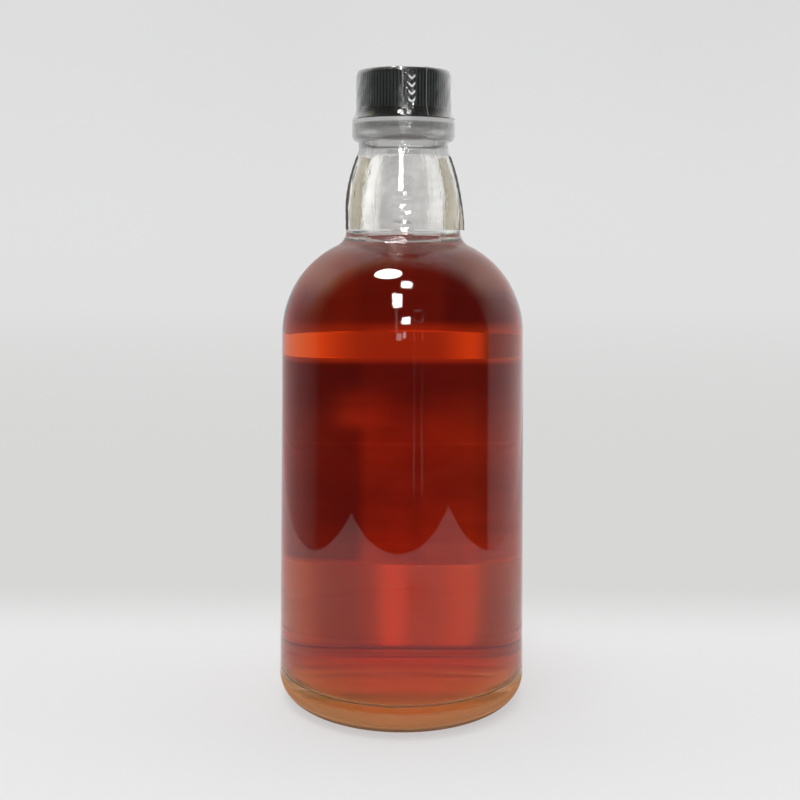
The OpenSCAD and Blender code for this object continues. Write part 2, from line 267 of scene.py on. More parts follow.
# ------------ shader nodes
class Nodes:
    """Short calls for making shader nodes in one tree. Values are numbers or the outputs of other nodes."""

    def __init__(self, tree):
        self.tree = tree
        tree.nodes.clear()

    def feed(self, socket, value):
        """Links or sets an input. A colour may come without its alpha."""
        if isinstance(value, bpy.types.NodeSocket):
            self.tree.links.new(value, socket)
        elif socket.type == "RGBA" and len(value) == 3:
            socket.default_value = (*value, 1.0)
        else:
            socket.default_value = value

    def add(self, kind, inputs=None, out=0, **props):
        """A new node, and its output number out."""
        node = self.tree.nodes.new("ShaderNode" + kind)
        for key, value in props.items():
            setattr(node, key, value)
        for key, value in (inputs or {}).items():
            self.feed(node.inputs[key], value)
        return node.outputs[out]

    def math(self, operation, a, b=0.0, c=0.0, clamp=False):
        return self.add("Math", {0: a, 1: b, 2: c}, operation=operation, use_clamp=clamp)

    def mul(self, first, *others):
        """All the values multiplied."""
        for other in others:
            first = self.math("MULTIPLY", first, other)
        return first

    def linear(self, x, slope, base, clamp=False):
        """x times slope, plus base."""
        return self.math("MULTIPLY_ADD", x, slope, base, clamp)

    def flipped(self, x):
        """1 less x."""
        return self.math("SUBTRACT", 1.0, x)

    def radius(self, x, y):
        """Distance of x and y from the origin."""
        return self.math("SQRT", self.math("ADD", self.mul(x, x), self.mul(y, y)))

    def step(self, x, a, b):
        """0 before a, 1 after b."""
        return self.add("MapRange", {0: x, 1: a, 2: b, 3: 0.0, 4: 1.0}, interpolation_type="SMOOTHSTEP")

    def inside(self, x, low, high, soft):
        """1 from low to high, with edges as wide as twice soft."""
        return self.mul(self.step(x, low - soft, low + soft), self.step(x, high + soft, high - soft))

    def colour(self, factor, a, b, blend="MIX"):
        """Colour a, mixed with b or blended with it by factor."""
        return self.add("Mix", {0: factor, 6: a, 7: b}, out=2, data_type="RGBA", blend_type=blend)

    def grey(self, level):
        return self.add("CombineXYZ", {0: level, 1: level, 2: level})

    def times(self, colour, level):
        """A colour made darker or brighter by a level."""
        return self.colour(1.0, colour, self.grey(level), "MULTIPLY")

    def vector(self, operation, a, b=(0.0, 0.0, 0.0)):
        return self.add("VectorMath", {0: a, 1: b}, operation=operation)

    def scaled(self, vector, x, y, z):
        return self.vector("MULTIPLY", vector, (x, y, z))

    def axes(self, vector):
        split = self.add("SeparateXYZ", {0: vector}).node
        return split.outputs[0], split.outputs[1], split.outputs[2]

    def place(self):
        """Where a point of the piece is: in metres for noise, and as x, y and z in millimetres."""
        where = self.add("TexCoord", out=3)
        return where, *self.axes(self.scaled(where, 1 / MM, 1 / MM, 1 / MM))

    def turned(self, x, y, middle):
        """Angle about Z from the direction middle, in degrees."""
        cos, sin = math.cos(math.radians(middle)), math.sin(math.radians(middle))
        along = self.math("ADD", self.mul(x, cos), self.mul(y, sin))
        across = self.math("SUBTRACT", self.mul(y, cos), self.mul(x, sin))
        return self.mul(self.math("ARCTAN2", across, along), 180 / math.pi)

    def noise(self, vector, scale, detail=3.0, rough=0.5, distort=0.0):
        """Noise with one scale, or with one for each axis."""
        if isinstance(scale, tuple):
            vector, scale = self.scaled(vector, *scale), 1.0
        return self.add("TexNoise", {"Vector": vector, "Scale": scale, "Detail": detail,
                                     "Roughness": rough, "Distortion": distort})

    def bump(self, height, strength, depth, normal=None):
        """A normal bent by a height. depth is in millimetres, and normal is the one to start from."""
        inputs = {"Strength": strength, "Distance": depth * MM, "Height": height}
        if normal is not None:
            inputs["Normal"] = normal
        return self.add("Bump", inputs)

    def mix(self, share, a, b):
        """Shader a with a share of shader b."""
        return self.add("MixShader", {0: share, 1: a, 2: b})

    def scatter(self, colour):
        """Light scattered as much forwards as backwards."""
        return self.mix(0.5, self.add("BsdfDiffuse", {"Color": colour}),
                        self.add("BsdfTranslucent", {"Color": colour}))

    def glow(self, colour):
        return self.add("Emission", {"Color": colour, "Strength": 1.0})

    def principled(self, colour, rough, normal, metal=0.0, specular=0.5):
        return self.add("BsdfPrincipled", {"Base Color": colour, "Roughness": rough, "Metallic": metal,
                                           "Specular IOR Level": specular, "Normal": normal})


def material(name):
    """A new material, its nodes and a function that links its outputs."""
    made = bpy.data.materials.new(name)
    made.use_nodes = True
    nodes = Nodes(made.node_tree)
    output = made.node_tree.nodes.new("ShaderNodeOutputMaterial")

    def finish(surface, volume=None):
        made.node_tree.links.new(surface, output.inputs["Surface"])
        if volume is not None:
            made.node_tree.links.new(volume, output.inputs["Volume"])
        return made

    return nodes, finish


def rgb(*levels):
    """A colour from its 0-255 screen levels."""
    return tuple((v / 255 / 12.92) if v <= 10 else ((v / 255 + 0.055) / 1.055) ** 2.4 for v in levels)


# ------------ glass and liquid
def drawn(n, where, x, y, z, out, normal):
    """The neck's front: a straight drawn flat high up, ripples below it, and calmer glass than elsewhere."""
    flat_top_z, flat_h, flat_lean = 184.98, 8.3, 0.21
    ripples_per_mm, ripple_lean, sway_share, calm_share = 0.385, 0.18, 0.35, 0.75

    here = n.mul(n.inside(x, -4.0, 3.0, 1.0), n.step(y, 0.0, -5.0))
    here = n.mul(here, n.step(out, GROOVE_R + 0.1, GROOVE_R + 0.6))
    fall = n.math("DIVIDE", n.math("SUBTRACT", flat_top_z, z), flat_h, clamp=True)
    flat = n.mul(fall, n.step(z, 175.6, 176.8))
    wander = n.noise(where, (150, 150, 300), 2.0, 0.5)
    beat = n.math("FRACT", n.linear(wander, 0.8, n.mul(z, ripples_per_mm)))
    ripple = n.mul(n.inside(beat, 0.22, 0.78, 0.10), n.inside(z, 162.0, 175.0, 0.5))
    lean = n.linear(flat, flat_lean, n.mul(ripple, ripple_lean))
    sway = n.mul(n.math("SUBTRACT", wander, 0.5), n.mul(ripple, sway_share))
    lean = n.add("CombineXYZ", {0: n.mul(sway, here), 1: 0.0, 2: n.mul(lean, here)})
    calm = n.colour(n.mul(here, calm_share), normal, n.add("NewGeometry", out=1))
    return n.vector("NORMALIZE", n.vector("ADD", calm, lean))


def glass_material():
    """Blown glass: faint waves, a mould seam at each side and drawn lines in the neck. A share of scattered
    colour carries painted light: a painted glow on the shoulder, painted light and a painted contact shadow
    at the heel, a painted dark reflection of the cap on the bead, and a pale brownish band along the liquid's
    top."""
    n, finish = material("clear_glass")
    where, x, y, z = n.place()
    out = n.radius(x, y)
    wide = n.math("ABSOLUTE", x)
    front = n.step(y, 0.0, -10.0)
    backfacing = n.add("NewGeometry", out=6)

    waves = n.noise(where, (34, 34, 14), 2.0, 0.45)
    fine = n.noise(where, (160, 160, 60), 2.0, 0.5)
    runs = n.noise(where, (420, 420, 75), 2.0, 0.5, 0.4)
    sparks = n.noise(where, 750.0, 2.0, 0.6, 0.5)
    scuffs = n.noise(where, 700.0, 2.0, 0.6, 0.8)
    seam = n.inside(y, -0.18, 0.18, 0.12)
    neck = n.math("GREATER_THAN", z, FOOT_Z - 11.5)
    normal = n.bump(waves, 0.35, 0.6)
    normal = n.bump(n.mul(fine, n.linear(neck, 0.75, 0.25)), 0.2, 0.35, normal)
    normal = n.bump(seam, 0.4, 0.05, normal)
    normal = n.bump(n.mul(runs, neck), 0.25, 0.6, normal)
    normal = drawn(n, where, x, y, z, out, normal)
    foot = n.mul(n.inside(x, -5.2, 0.4, 1.0), n.inside(z, FOOT_Z - 8.2, FOOT_Z - 2.3, 0.6), front)
    normal = n.bump(sparks, n.mul(foot, 0.7), 0.5, normal)
    scuffs_and_crest_sheen = n.mul(n.inside(x, 0.5, 9.5, 2.0), n.inside(z, LABEL_Z - 0.4, LABEL_Z + 11.6, 3.0), front)
    normal = n.bump(n.mul(scuffs, scuffs_and_crest_sheen), 0.5, 0.3, normal)

    # The base glass is tinted tan, a painted stand-in for warm light coming through the liquid onto the floor
    # below it.
    tint = n.colour(n.step(z, 12.5, 8.5), (0.988, 0.99, 0.984), (0.95, 0.74, 0.55))
    shader = n.add("BsdfGlass", {"Color": tint, "Roughness": 0.0, "IOR": GLASS_IOR, "Normal": normal})

    # The heel: painted light and a painted contact shadow in its scattered colour, standing for light through
    # the liquid and the floor below: amber in front, golden underneath, and brown along its rim.
    outer = n.step(out, 36.0, 38.0)
    # The brown rim is a painted contact shadow: a band low on the back heel, and the lowest millimetres all
    # round.
    rim = n.mul(n.step(z, 8.5, 5.0), outer, n.step(y, -10.0, 10.0), backfacing)
    rim = n.math("MAXIMUM", rim, n.mul(n.step(z, 4.2, 3.0), outer))
    painted_gold_glow = n.colour(n.step(x, -10.0, 10.0), (0.74, 0.70, 0.22), (0.90, 0.74, 0.26))
    painted_gold_glow = n.colour(n.inside(x, -10.0, 11.0, 6.0), painted_gold_glow, (1.0, 0.82, 0.28))
    under = n.mul(n.step(y, -31.0, -22.0), n.step(out, 38.0, 36.0))
    painted_heel_light = n.colour(rim, n.colour(under, (0.95, 0.52, 0.26), painted_gold_glow), (0.46, 0.30, 0.16))

    # Painted glow: reddish high on the shoulder's sides, and orange lower and wider.
    painted_glow_high = n.mul(n.inside(z, FOOT_Z - 12.0, FOOT_Z - 5.5, 3.0), n.step(wide, 12.0, 20.0))
    painted_glow_low = n.mul(n.inside(z, FOOT_Z - 18.5, FOOT_Z - 11.0, 3.0), n.step(wide, 19.0, 26.0))
    # A painted dark reflection of the cap's underside, in a ring on the bead; and a pale brownish band along
    # the liquid's top.
    bead = n.inside(z, BEAD_TOP_Z - 2.8, BEAD_TOP_Z - 1.1, 0.4)
    liquid_line = n.inside(z, FILL_Z - 0.2, FILL_Z + 4.8, 1.0)
    for zone, share, colour in (
            (n.step(z, 10.0, 8.0), 0.68, painted_heel_light),
            (painted_glow_high, 0.26, (0.62, 0.20, 0.08)),
            (painted_glow_low, 0.25, (0.85, 0.43, 0.26)),
            (bead, 0.42, (0.10, 0.10, 0.08)),
            (liquid_line, 0.22, (0.60, 0.52, 0.46))):
        shader = n.mix(n.mul(zone, share), shader, n.scatter(colour))
    return finish(shader)


def liquid_material():
    """Dark amber liquid: its walls meet the glass, its free surface meets the air, and a painted dark shade
    runs round the edge of its floor."""
    n, finish = material("amber_liquid")
    wet, free = (n.add("BsdfGlass", {"Color": (1.0, 1.0, 1.0), "Roughness": 0.0, "IOR": ior})
                 for ior in (LIQUID_IOR / GLASS_IOR, LIQUID_IOR))
    shader = n.mix(n.add("Attribute", attribute_name="free_surface", out=2), wet, free)
    x, y, z = n.place()[1:]
    # Painted shade: a dark ring round the edge of the floor, next to the glass.
    wall_r = BODY_LOW_R - WALL
    edge = n.mul(n.inside(n.radius(x, y), wall_r - 4.0, wall_r - 2.5, 0.9),
                 n.inside(z, FLOOR_T + 0.4, FLOOR_T + 2.8, 0.8))
    shader = n.mix(n.mul(edge, 0.75), shader, n.add("BsdfDiffuse", {"Color": (0.10, 0.05, 0.03)}))
    volume = n.add("VolumeAbsorption", {"Color": (0.97, 0.575, 0.2), "Density": 100.0})
    return finish(shader, volume)


# ------------ paper
CREAM, OLD_CREAM, PALE, PLATE = (0.80, 0.72, 0.55), (0.78, 0.71, 0.55), (0.95, 0.9, 0.8), (0.72, 0.62, 0.42)
INK, GREY_INK, GOLD = (0.03, 0.022, 0.018), (0.09, 0.085, 0.075), (0.45, 0.29, 0.09)
OXBLOOD, DARK_RED = (0.16, 0.03, 0.02), (0.15, 0.03, 0.02)
PRINT_SOFT = 0.05


def label_material(name, low_z, art, backlight):
    """Cream paper with plain printed rules and bands, and bare on its back, where daylight comes through it.
    art(n, angle, up) returns the printed colour, backlight(n, angle, x, up) the colour that comes through.
    angle is 0 at the label's middle, and up is the height above low_z, its lower edge."""
    n, finish = material(name)
    where, x, y, z = n.place()
    angle = n.mul(n.math("ARCTAN2", x, y), 180 / math.pi)
    up = n.math("SUBTRACT", z, low_z)
    fibre = n.noise(where, (900, 900, 900), 4.0, 0.6)
    mottle = n.noise(where, (90, 90, 70), 3.0, 0.5)
    glue = n.noise(where, (60, 60, 420), 3.0, 0.6)
    cloud = n.noise(where, (70, 70, 75), 4.0, 0.6)
    normal = n.bump(fibre, 0.25, 0.06)

    printed = n.colour(n.mul(mottle, 0.25), art(n, angle, up), (0.86, 0.80, 0.66), "MULTIPLY")
    printed = n.colour(n.mul(fibre, 0.12), printed, (0.75, 0.66, 0.5), "MULTIPLY")
    face = n.principled(printed, 0.62, normal, specular=0.35)
    bare = n.add("BsdfDiffuse", {"Color": n.colour(mottle, (0.80, 0.78, 0.72), (0.88, 0.86, 0.80)),
                                 "Roughness": 0.4, "Normal": normal})
    uneven = n.linear(glue, 0.5, n.linear(cloud, 1.0, 0.22))
    lit = n.times(backlight(n, angle, x, up), uneven)
    through = n.add("BsdfTranslucent", {"Color": lit, "Normal": normal})
    front_side = n.mix(0.08, face, n.add("BsdfTranslucent", {"Color": printed}))
    back_side = n.mix(0.8, bare, through)
    return finish(n.mix(n.add("NewGeometry", out=6), front_side, back_side))


def dimmed(n, colour, *shades):
    """A colour, with a share of it taken away by each shade. A share below 0 brightens."""
    level = 1.0
    for shade, share in shades:
        level = n.mul(level, n.linear(shade, -share, 1.0))
    return n.times(colour, level)


def front_backlight(n, angle, x, up):
    """Dark under the printed top band and to one side, brighter at the upper and lower edges."""
    edge = n.math("MAXIMUM", n.step(up, LABEL_H - 2.9, LABEL_H + 0.2), n.step(up, 2.5, 0.0))
    upper = n.mul(n.inside(x, -12.5, -3.0, 3.0), n.inside(up, 51.6, 65.6, 5.0))
    tone = dimmed(
        n, (0.27, 0.24, 0.20),
        (n.step(up, 46.6, 68.6), 0.70),
        (n.mul(n.step(x, -6.5, -9.5), n.flipped(upper)), 0.62),
        (upper, -0.7),
        (n.step(x, 12.5, 15.5), 0.3),
        (n.inside(up, 23.6, 36.6, 5.0), 0.18),
        (n.inside(x, 1.5, 4.5, 1.5), 0.2),
        (n.inside(up, 44.8, 45.4, 0.5), -0.4),
        (n.step(up, 15.6, 5.6), -0.4),
    )
    return n.colour(edge, tone, (0.42, 0.40, 0.36))


def shoulder_backlight(n, angle, x, up):
    """Dark, with a lighter streak to the left and a shaded right side, and bright at the lower edge."""
    edge = n.step(up, 1.9, -0.1)
    tone = dimmed(
        n, (0.115, 0.105, 0.09),
        (n.step(x, 6.8, 9.5), 0.62),
        (n.inside(x, -12.5, -8.5, 1.5), -0.4),
        (n.step(x, 0.5, 3.0), 0.2),
    )
    return n.colour(edge, tone, (0.40, 0.38, 0.35))


def neck_backlight(n, angle, x, up):
    """Shaded in the middle, bright beside it, and tan at the ends."""
    turn = n.math("ABSOLUTE", angle)
    bright = n.colour(n.step(angle, -10, 10), (1.5, 1.49, 1.45), (1.3, 1.29, 1.27))
    tone = n.colour(n.step(turn, 26, 56), (0.72, 0.71, 0.72), bright)
    return n.colour(n.step(turn, 74, 82), tone, (0.66, 0.60, 0.47))


def striped(n, up, colour, *bands):
    """A colour with bands printed over it, each from one height to another in a colour of its own."""
    for low, high, ink in bands:
        colour = n.colour(n.inside(up, low, high, PRINT_SOFT), colour, ink)
    return colour


def front_art(n, angle, up):
    """Front label: dark top band, light rule, framed plate, plain lower band and a rule along each end."""
    turn = n.math("ABSOLUTE", angle)
    colour = striped(n, up, CREAM, (66.2, 73.6, INK), (64.2, 65.0, GOLD), (44.6, 46.0, PALE),
                     (43.8, 44.2, INK), (46.4, 46.8, INK))
    for half, low, high, ink in (
            (34.1, 11.6, 39.6, INK), (32.7, 13.0, 38.2, GOLD), (31.8, 13.8, 37.4, PLATE)):
        plate = n.mul(n.step(turn, half + 0.2, half - 0.2), n.inside(up, low, high, PRINT_SOFT))
        colour = n.colour(plate, colour, ink)
    colour = striped(n, up, colour, (1.0, 5.6, OXBLOOD), (6.6, 7.1, GOLD))
    return n.colour(n.inside(turn, LABEL_HALF - 2.3, LABEL_HALF - 1.4, 0.1), colour, GOLD)


def shoulder_art(n, angle, up):
    """Shoulder label: dark paper with a light rule near each edge."""
    turn = n.math("ABSOLUTE", angle)
    colour = striped(n, up, OXBLOOD, (1.5, 2.1, GOLD), (21.5, 22.0, GOLD))
    return n.colour(n.inside(turn, SHOULDER_LABEL_HALF - 2.1, SHOULDER_LABEL_HALF - 1.1, 0.1), colour, GOLD)


def neck_art(n, angle, up):
    """Neck label: bare paper with two rules and a dark band, and dark ends."""
    colour = striped(n, up, OLD_CREAM, (4.35, 14.35, DARK_RED), (2.95, 3.45, GOLD), (15.35, 15.85, GOLD))
    return n.colour(n.step(n.math("ABSOLUTE", angle), 82.0, 84.0), colour, GREY_INK)


# ------------ closure materials
def cap_material():
    """Satin black plastic, lighter on the crests of the ribs and darker between them and elsewhere: a painted
    sheen on the crests and painted shade off them.
    """
    n, finish = material("cap_black")
    where, x, y, z = n.place()
    grain = n.noise(where, 2600.0, 3.0, 0.6)
    cloud = n.noise(where, 130.0, 3.0, 0.5)
    crest = n.mul(n.step(n.radius(x, y), RIB_ROOT_R + 0.15, RIB_CREST_R - 0.05),
                  n.inside(z, RIB_Z, RIB_TOP_Z, 0.3))
    base = n.colour(cloud, (0.015, 0.021, 0.019), (0.026, 0.034, 0.031))
    # Off the crests the colour is darkened as painted shade; on them it is lightened as a painted sheen.
    shaded = n.colour(0.7, base, (0.0, 0.0, 0.0))
    scuffs_and_crest_sheen = n.colour(0.26, base, (0.15, 0.20, 0.18))
    rough = n.linear(cloud, 0.16, 0.26)
    return finish(n.principled(n.colour(crest, shaded, scuffs_and_crest_sheen), rough, n.bump(grain, 0.12, 0.04)))


def film_material(name, marks=None, crinkle=0.5, haze=0.01):
    """Clear shrunk film: see-through, with a glossy skin, creases and plain white marks, and milky scatter
    that grows towards grazing as a painted sheen. haze is how milky it is. marks(n, x, y, z) returns where
    the marks are."""
    n, finish = material(name)
    where, x, y, z = n.place()
    creases = n.noise(where, (240, 240, 420), 3.0, 0.6, 0.6)
    rucks = n.noise(where, 800.0, 2.0, 0.6, 0.8)
    sag = n.noise(where, (120, 120, 30), 2.0, 0.5)
    pinch = n.mul(n.inside(n.turned(x, y, STRIP_MID - 8), -9.0, 7.0, 4.0), n.step(z, 203.0, 199.0))
    pulled = n.inside(n.turned(x, y, STRIP_MID - 12), -5.0, 4.0, 2.0)
    normal = n.bump(creases, n.linear(pinch, 1.1, 0.45 * crinkle), 0.4)
    normal = n.bump(rucks, n.mul(pulled, 0.7), 0.3, normal)
    normal = n.bump(sag, 0.5 * crinkle, 1.2, normal)

    gloss = n.add("BsdfGlossy", {"Color": (1.0, 1.0, 1.0), "Roughness": 0.04, "Normal": normal})
    see_through = n.add("BsdfTransparent", {"Color": (0.99, 0.99, 0.988)})
    facing = n.add("LayerWeight", {"Blend": 0.5, "Normal": normal}, out=1)
    haze = n.linear(n.inside(z, BEAD_TOP_Z - 0.8, SEAM_Z - 0.2, 0.2), 0.75, haze)
    # The milky scatter grows towards grazing, a painted sheen of reflected light at the film's edges.
    milk_and_edge_sheen = n.linear(n.math("POWER", facing, 3.4), 1.5, haze, True)
    skin = n.linear(n.math("POWER", facing, 4.2), 0.95, 0.04)
    shader = n.mix(skin, n.mix(milk_and_edge_sheen, see_through, n.scatter((0.9, 0.9, 0.9))), gloss)
    if marks is not None:
        ink = n.principled((0.86, 0.87, 0.87), 0.4, normal)
        shader = n.mix(marks(n, x, y, z), shader, ink)
    return finish(shader)


def strip_marks(n, x, y, z):
    """Four chevrons that point down the strip, and rows of white spots along its perforations, which stand
    for the holes and partly for painted glints on the creased film.
    """
    turn_mm = math.radians(FILM_R + FILM_T)
    chevron_z, chevron_pitch, dot_pitch, dot_inset = RIB_Z + 0.4, 2.5, 0.8, 0.75

    side = n.mul(n.math("ABSOLUTE", n.turned(x, y, STRIP_MID - 3.8)), turn_mm)
    up = n.math("SUBTRACT", n.linear(side, -0.9, z), chevron_z)
    row = n.math("FRACT", n.math("DIVIDE", up, chevron_pitch))
    chevrons = n.mul(n.inside(row, 0.12, 0.46, 0.03), n.inside(z, RIB_Z + 1.0, RIB_TOP_Z - 0.5, PRINT_SOFT))
    chevrons = n.mul(chevrons, n.step(side, 1.16, 1.08))

    turn = n.math("ABSOLUTE", n.turned(x, y, STRIP_MID))
    across = n.mul(n.math("SUBTRACT", turn, STRIP_HALF - dot_inset), turn_mm)
    along = n.math("SUBTRACT", n.math("FRACT", n.math("DIVIDE", z, dot_pitch)), 0.5)
    # White spots on the perforations: partly painted glints.
    perforation_dots_and_glints = n.mul(n.step(n.radius(across, n.mul(along, dot_pitch)), 0.17, 0.11), 0.7)
    return n.math("MAXIMUM", chevrons, perforation_dots_and_glints)


def band_marks(n, x, y, z):
    """A thin arrow round the band."""
    arrow_z, tip, tip_end, head_slope = GROOVE_Z + 0.58, -8.0, -3.6, 0.16
    angle = n.turned(x, y, -90.0)
    shaft = n.mul(n.inside(angle, -4.0, 24.0, 0.3), n.inside(z, arrow_z - 0.18, arrow_z + 0.17, PRINT_SOFT))
    reach = n.mul(n.math("SUBTRACT", angle, tip), head_slope)
    off = n.math("ABSOLUTE", n.math("SUBTRACT", z, arrow_z))
    head = n.mul(n.step(n.math("SUBTRACT", reach, off), -0.03, 0.03), n.inside(angle, tip, tip_end, 0.2))
    return n.math("MAXIMUM", shaft, head)


def foil_material():
    """Embossed foil, a little creased."""
    n, finish = material("foil")
    where = n.add("TexCoord", out=3)
    dimples = n.add("TexVoronoi", {"Vector": where, "Scale": 1300.0})
    creases = n.noise(where, 420.0, 4.0, 0.6, 0.5)
    tone = n.colour(creases, (0.72, 0.72, 0.73), (0.88, 0.88, 0.89))
    normal = n.bump(creases, 0.3, 0.2, n.bump(dimples, 0.25, 0.08))
    return finish(n.principled(tone, 0.22, normal, metal=1.0))


def foam_material():
    """Off-white foam with fine cells."""
    n, finish = material("liner_foam")
    where = n.add("TexCoord", out=3)
    cells = n.add("TexVoronoi", {"Vector": where, "Scale": 2200.0})
    tone = n.colour(n.noise(where, 300.0, 3.0, 0.5), (0.82, 0.80, 0.74), (0.92, 0.91, 0.87))
    return finish(n.principled(tone, 0.85, n.bump(cells, 0.5, 0.2)))


def insert_material():
    """Grained dark grey plastic."""
    n, finish = material("insert_plastic")
    where = n.add("TexCoord", out=3)
    grain = n.noise(where, 1800.0, 3.0, 0.6)
    tone = n.colour(n.noise(where, 150.0, 2.0, 0.5), (0.030, 0.031, 0.033), (0.052, 0.053, 0.056))
    return finish(n.principled(tone, 0.48, n.bump(grain, 0.2, 0.05)))


# ------------ bottle
def thread(a, z, crest, turns, phase=0.0):
    """How far a rounded helical ridge stands out at each angle and height. It fades out at its ends. phase
    lifts it by a share of its pitch."""
    along = np.mod(a + 90.0, 360.0) / 360.0
    ridge = np.zeros_like(z)
    for k in range(int(turns) + 2):
        t = along + k
        centre = THREAD_Z0 + THREAD_PITCH * (t + phase)
        fade = smooth(t, 0.0, THREAD_FADE) * smooth(t, turns, turns - THREAD_FADE)
        ridge = np.maximum(ridge, fade * np.clip(1 - ((z - centre) / THREAD_HALF_W) ** 2, 0, 1) ** 0.8)
    return crest * ridge


def bottle_shape(a, r, z):
    """Thread on the land, and the small recessed mark low on the back."""
    land = (z > BEAD_TOP_Z + 1.5) & (z < MOUTH_Z - 1.0) & (r > LAND_R - 0.2)
    r = np.where(land, r + thread(a, z, THREAD_H, THREAD_TURNS), r)
    dx = np.abs(np.radians(a + 90.0) * r - MARK_X) / MARK_HALF_W
    dz = np.abs(z - MARK_Z) / MARK_HALF_H
    return r - MARK_DEPTH * smooth(np.maximum(dx, dz), 1.15, 0.85), z


def make_bottle():
    """The glass without its wetted walls, and the liquid, whose walls stand for them."""
    wet, dry = split_at(cavity_rows(), FILL_Z + MENISCUS_H)
    outline = joined(outside_rows(), dry[::-1])
    bottle = lathe("bottle_glass_blown", outline, GLASS_SEGMENTS, -270.0, shape=bottle_shape, smooth_angle=50)
    put(bottle, glass_material(), "bottle", "bottle_glass")

    # The free surface has finer rows towards the wall, where the meniscus climbs.
    edge_r = wet[-1, 0]
    r = edge_r - np.linspace(0, 1, 33) ** 1.6 * edge_r
    top = np.column_stack([r, FILL_Z + MENISCUS_H * np.exp(-(edge_r - r) / MENISCUS_L)])
    liquid = lathe("liquid_contents", np.vstack([wet, top[1:]]), GLASS_SEGMENTS, smooth_angle=60)
    mask = liquid.data.attributes.new("free_surface", "FLOAT", "FACE")
    count = len(liquid.data.polygons)
    wall_faces = (len(wet) - 1) * GLASS_SEGMENTS
    mask.data.foreach_set("value", [0.0] * wall_faces + [1.0] * (count - wall_faces))
    put(liquid, liquid_material(), "bottle", "liquid_fill")


# ------------ labels
def make_labels():
    """Paper on the front of the body, the shoulder and the neck."""
    corner_lift, ripple_h = 1.75, 0.10

    def body_rows(z0, z1, n):
        z = np.linspace(z0, z1, n + 1)
        return np.column_stack([body_r(z) + LABEL_GAP, z])

    def lifted(a, r, z):
        """Small ripples towards both ends, and the lower right corner off the glass."""
        turn = np.abs(90.0 - a)
        corner = smooth(turn, 80, NECK_LABEL_HALF) * (a < 90) * smooth(z, 180, NECK_LABEL_Z)
        ripple = ripple_h * np.sin(z * 1.1 + turn * 0.13) * smooth(turn, 60, 97)
        return r + corner_lift * corner ** 1.2 + np.abs(ripple), z

    front = body_rows(LABEL_Z, LABEL_Z + LABEL_H, 40)
    top = math.degrees(math.asin((SHOULDER_LABEL_TOP_Z - SHOULDER_Z) / SHOULDER_R))
    domed = joined(body_rows(SHOULDER_LABEL_Z, SHOULDER_Z, 4),
                   arc(SHOULDER_CX, SHOULDER_Z, SHOULDER_R + LABEL_GAP, 0, top, 24))
    neck = neck_rows(NECK_LABEL_Z, NECK_LABEL_Z + NECK_LABEL_H, LABEL_GAP, 40)
    for name, rows, segments, half, shape, art, backlight in (
            ("front_label", front, 96, LABEL_HALF, None, front_art, front_backlight),
            ("shoulder_label", domed, 96, SHOULDER_LABEL_HALF, None, shoulder_art, shoulder_backlight),
            ("neck_label", neck, 144, NECK_LABEL_HALF, lifted, neck_art, neck_backlight)):
        label = lathe(name + "_paper", rows, segments, 90 - half, 2 * half, shape=shape)
        paper = label_material(name + "_print", rows[0, 1], art, backlight)
        put(label, paper, "bottle", name)


# ------------ closure
def make_shell():
    """The cap's ribbed outer part, with a plain rim below and a shallow dish on top."""
    per_rib = 12
    near = 0.03
    rib_h = RIB_CREST_R - RIB_ROOT_R - near

    def ribbed(a, r, z):
        """Moves the root's wall out to the crests, and all round where the ribs run out at the top."""
        on = (np.abs(r - RIB_ROOT_R) < near) & (z > RIB_Z - 0.01) & (z < RIB_TOP_Z + 0.4)
        phase = np.mod(a * RIB_COUNT / 360.0, 1.0)
        crest = smooth(np.abs(phase - 0.5), 0.36, 0.16)
        run_out = smooth(z, RIB_TOP_Z - 0.25, RIB_TOP_Z + 0.35)
        return np.where(on, r + rib_h * np.maximum(crest, run_out), r), z

    top_r, dish_z = RIB_CREST_R - CAP_EDGE_R, CAP_TOP_Z - DISH_H
    rows = joined(
        [(0, INSERT_TOP_Z), (SHELL_IN_R, INSERT_TOP_Z)],
        [(SHELL_IN_R, CAP_Z + CAP_BEVEL), (SHELL_IN_R + CAP_BEVEL, CAP_Z)],
        curve((RIB_CREST_R - RIM_EDGE, CAP_Z), (RIB_CREST_R, CAP_Z), (RIB_CREST_R, CAP_Z + RIM_EDGE), 4),
        line((RIB_CREST_R, CAP_Z + RIM_EDGE), (RIB_CREST_R, RIB_Z - RIM_EDGE), 4),
        curve((RIB_CREST_R, RIB_Z - RIM_EDGE), (RIB_CREST_R, RIB_Z), (RIB_ROOT_R, RIB_Z + 0.05), 4),
        line((RIB_ROOT_R, RIB_Z + 0.05), (RIB_ROOT_R, RIB_TOP_Z - 0.4), 10),
        line((RIB_ROOT_R, RIB_TOP_Z - 0.4), (RIB_ROOT_R, RIB_TOP_Z + 0.1), 5),
        arc(top_r, RIB_TOP_Z, CAP_EDGE_R, 14, 90, 10),
        line((top_r, CAP_TOP_Z), (DISH_R + 0.6, CAP_TOP_Z), 2),
        curve((DISH_R + 0.6, CAP_TOP_Z), (DISH_R + 0.2, CAP_TOP_Z), (DISH_R, dish_z), 3),
        crown(DISH_R, dish_z, 0.1, 10)[::-1],
    )
    shell = lathe("cap_shell_ribbed", rows, RIB_COUNT * per_rib, shape=ribbed, smooth_angle=40)
    put(shell, cap_material(), "cap", "cap_shell")


